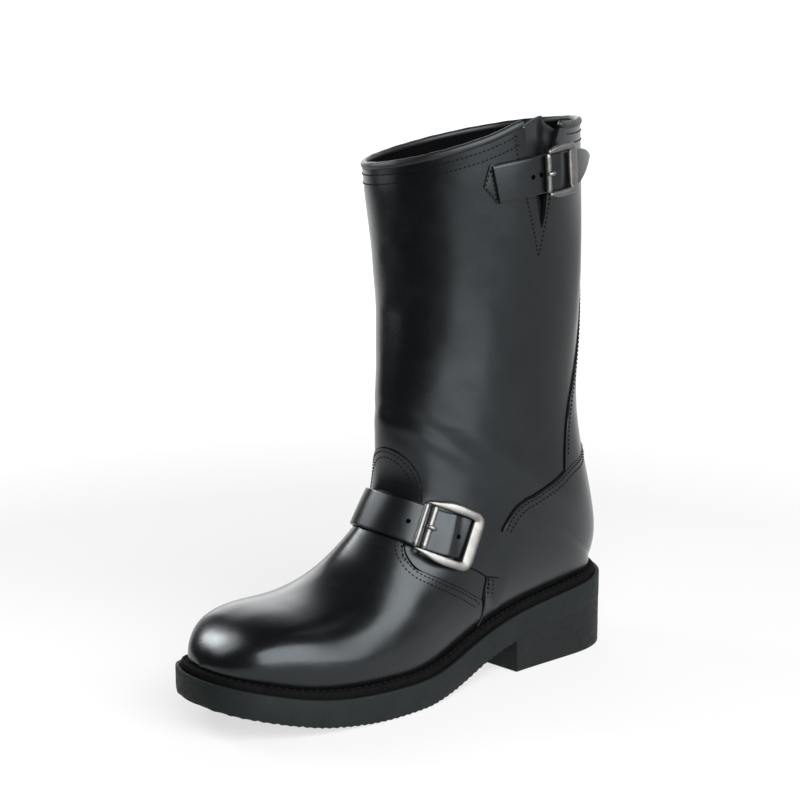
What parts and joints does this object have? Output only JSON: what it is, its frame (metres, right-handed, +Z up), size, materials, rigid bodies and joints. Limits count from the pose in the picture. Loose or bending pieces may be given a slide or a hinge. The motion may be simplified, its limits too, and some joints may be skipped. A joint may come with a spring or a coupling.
{
  "type": "biker boot",
  "caption": "Tall black leather biker boot for the left foot: hollow upper with buckled instep and collar straps, heel counter, stitched welt, lugged rubber sole and stacked heel.",
  "frame": {"origin": "floor plane, under the middle of the bounding box", "axes": "+Z up the shaft, -Y towards the toe, +X towards the outer side with the buckles"},
  "size_m": [0.125, 0.3054, 0.3429],
  "materials": {
    "upper_leather": "semi gloss black, smooth grain",
    "strap_leather": "semi gloss black, smooth grain",
    "trim_leather": "soft matt black",
    "sole_rubber": "matt black moulded rubber",
    "heel_rubber": "matt black rubber, cut and ground",
    "welt": "matt black, roughly sewn edge",
    "insole": "dark felted sheet",
    "buckle_metal": "nickel plated, satin"
  },
  "bodies": {
    "root": {"upper": "upper_leather", "heel_counter": "upper_leather", "back_stay": "upper_leather", "instep_strap": "strap_leather", "top_strap": "strap_leather", "top_strap_tab": "strap_leather", "collar_binding": "trim_leather", "gusset": "trim_leather", "outsole": "sole_rubber", "heel_lift": "heel_rubber", "heel_top_piece": "heel_rubber", "welt_midsole": "welt", "insole": "insole", "instep_buckle_frame": "buckle_metal", "instep_buckle_roller": "buckle_metal", "instep_buckle_bar": "buckle_metal", "instep_buckle_prong": "buckle_metal", "top_buckle_frame": "buckle_metal", "top_buckle_roller": "buckle_metal", "top_buckle_prong": "buckle_metal"}
  },
  "joints": []
}
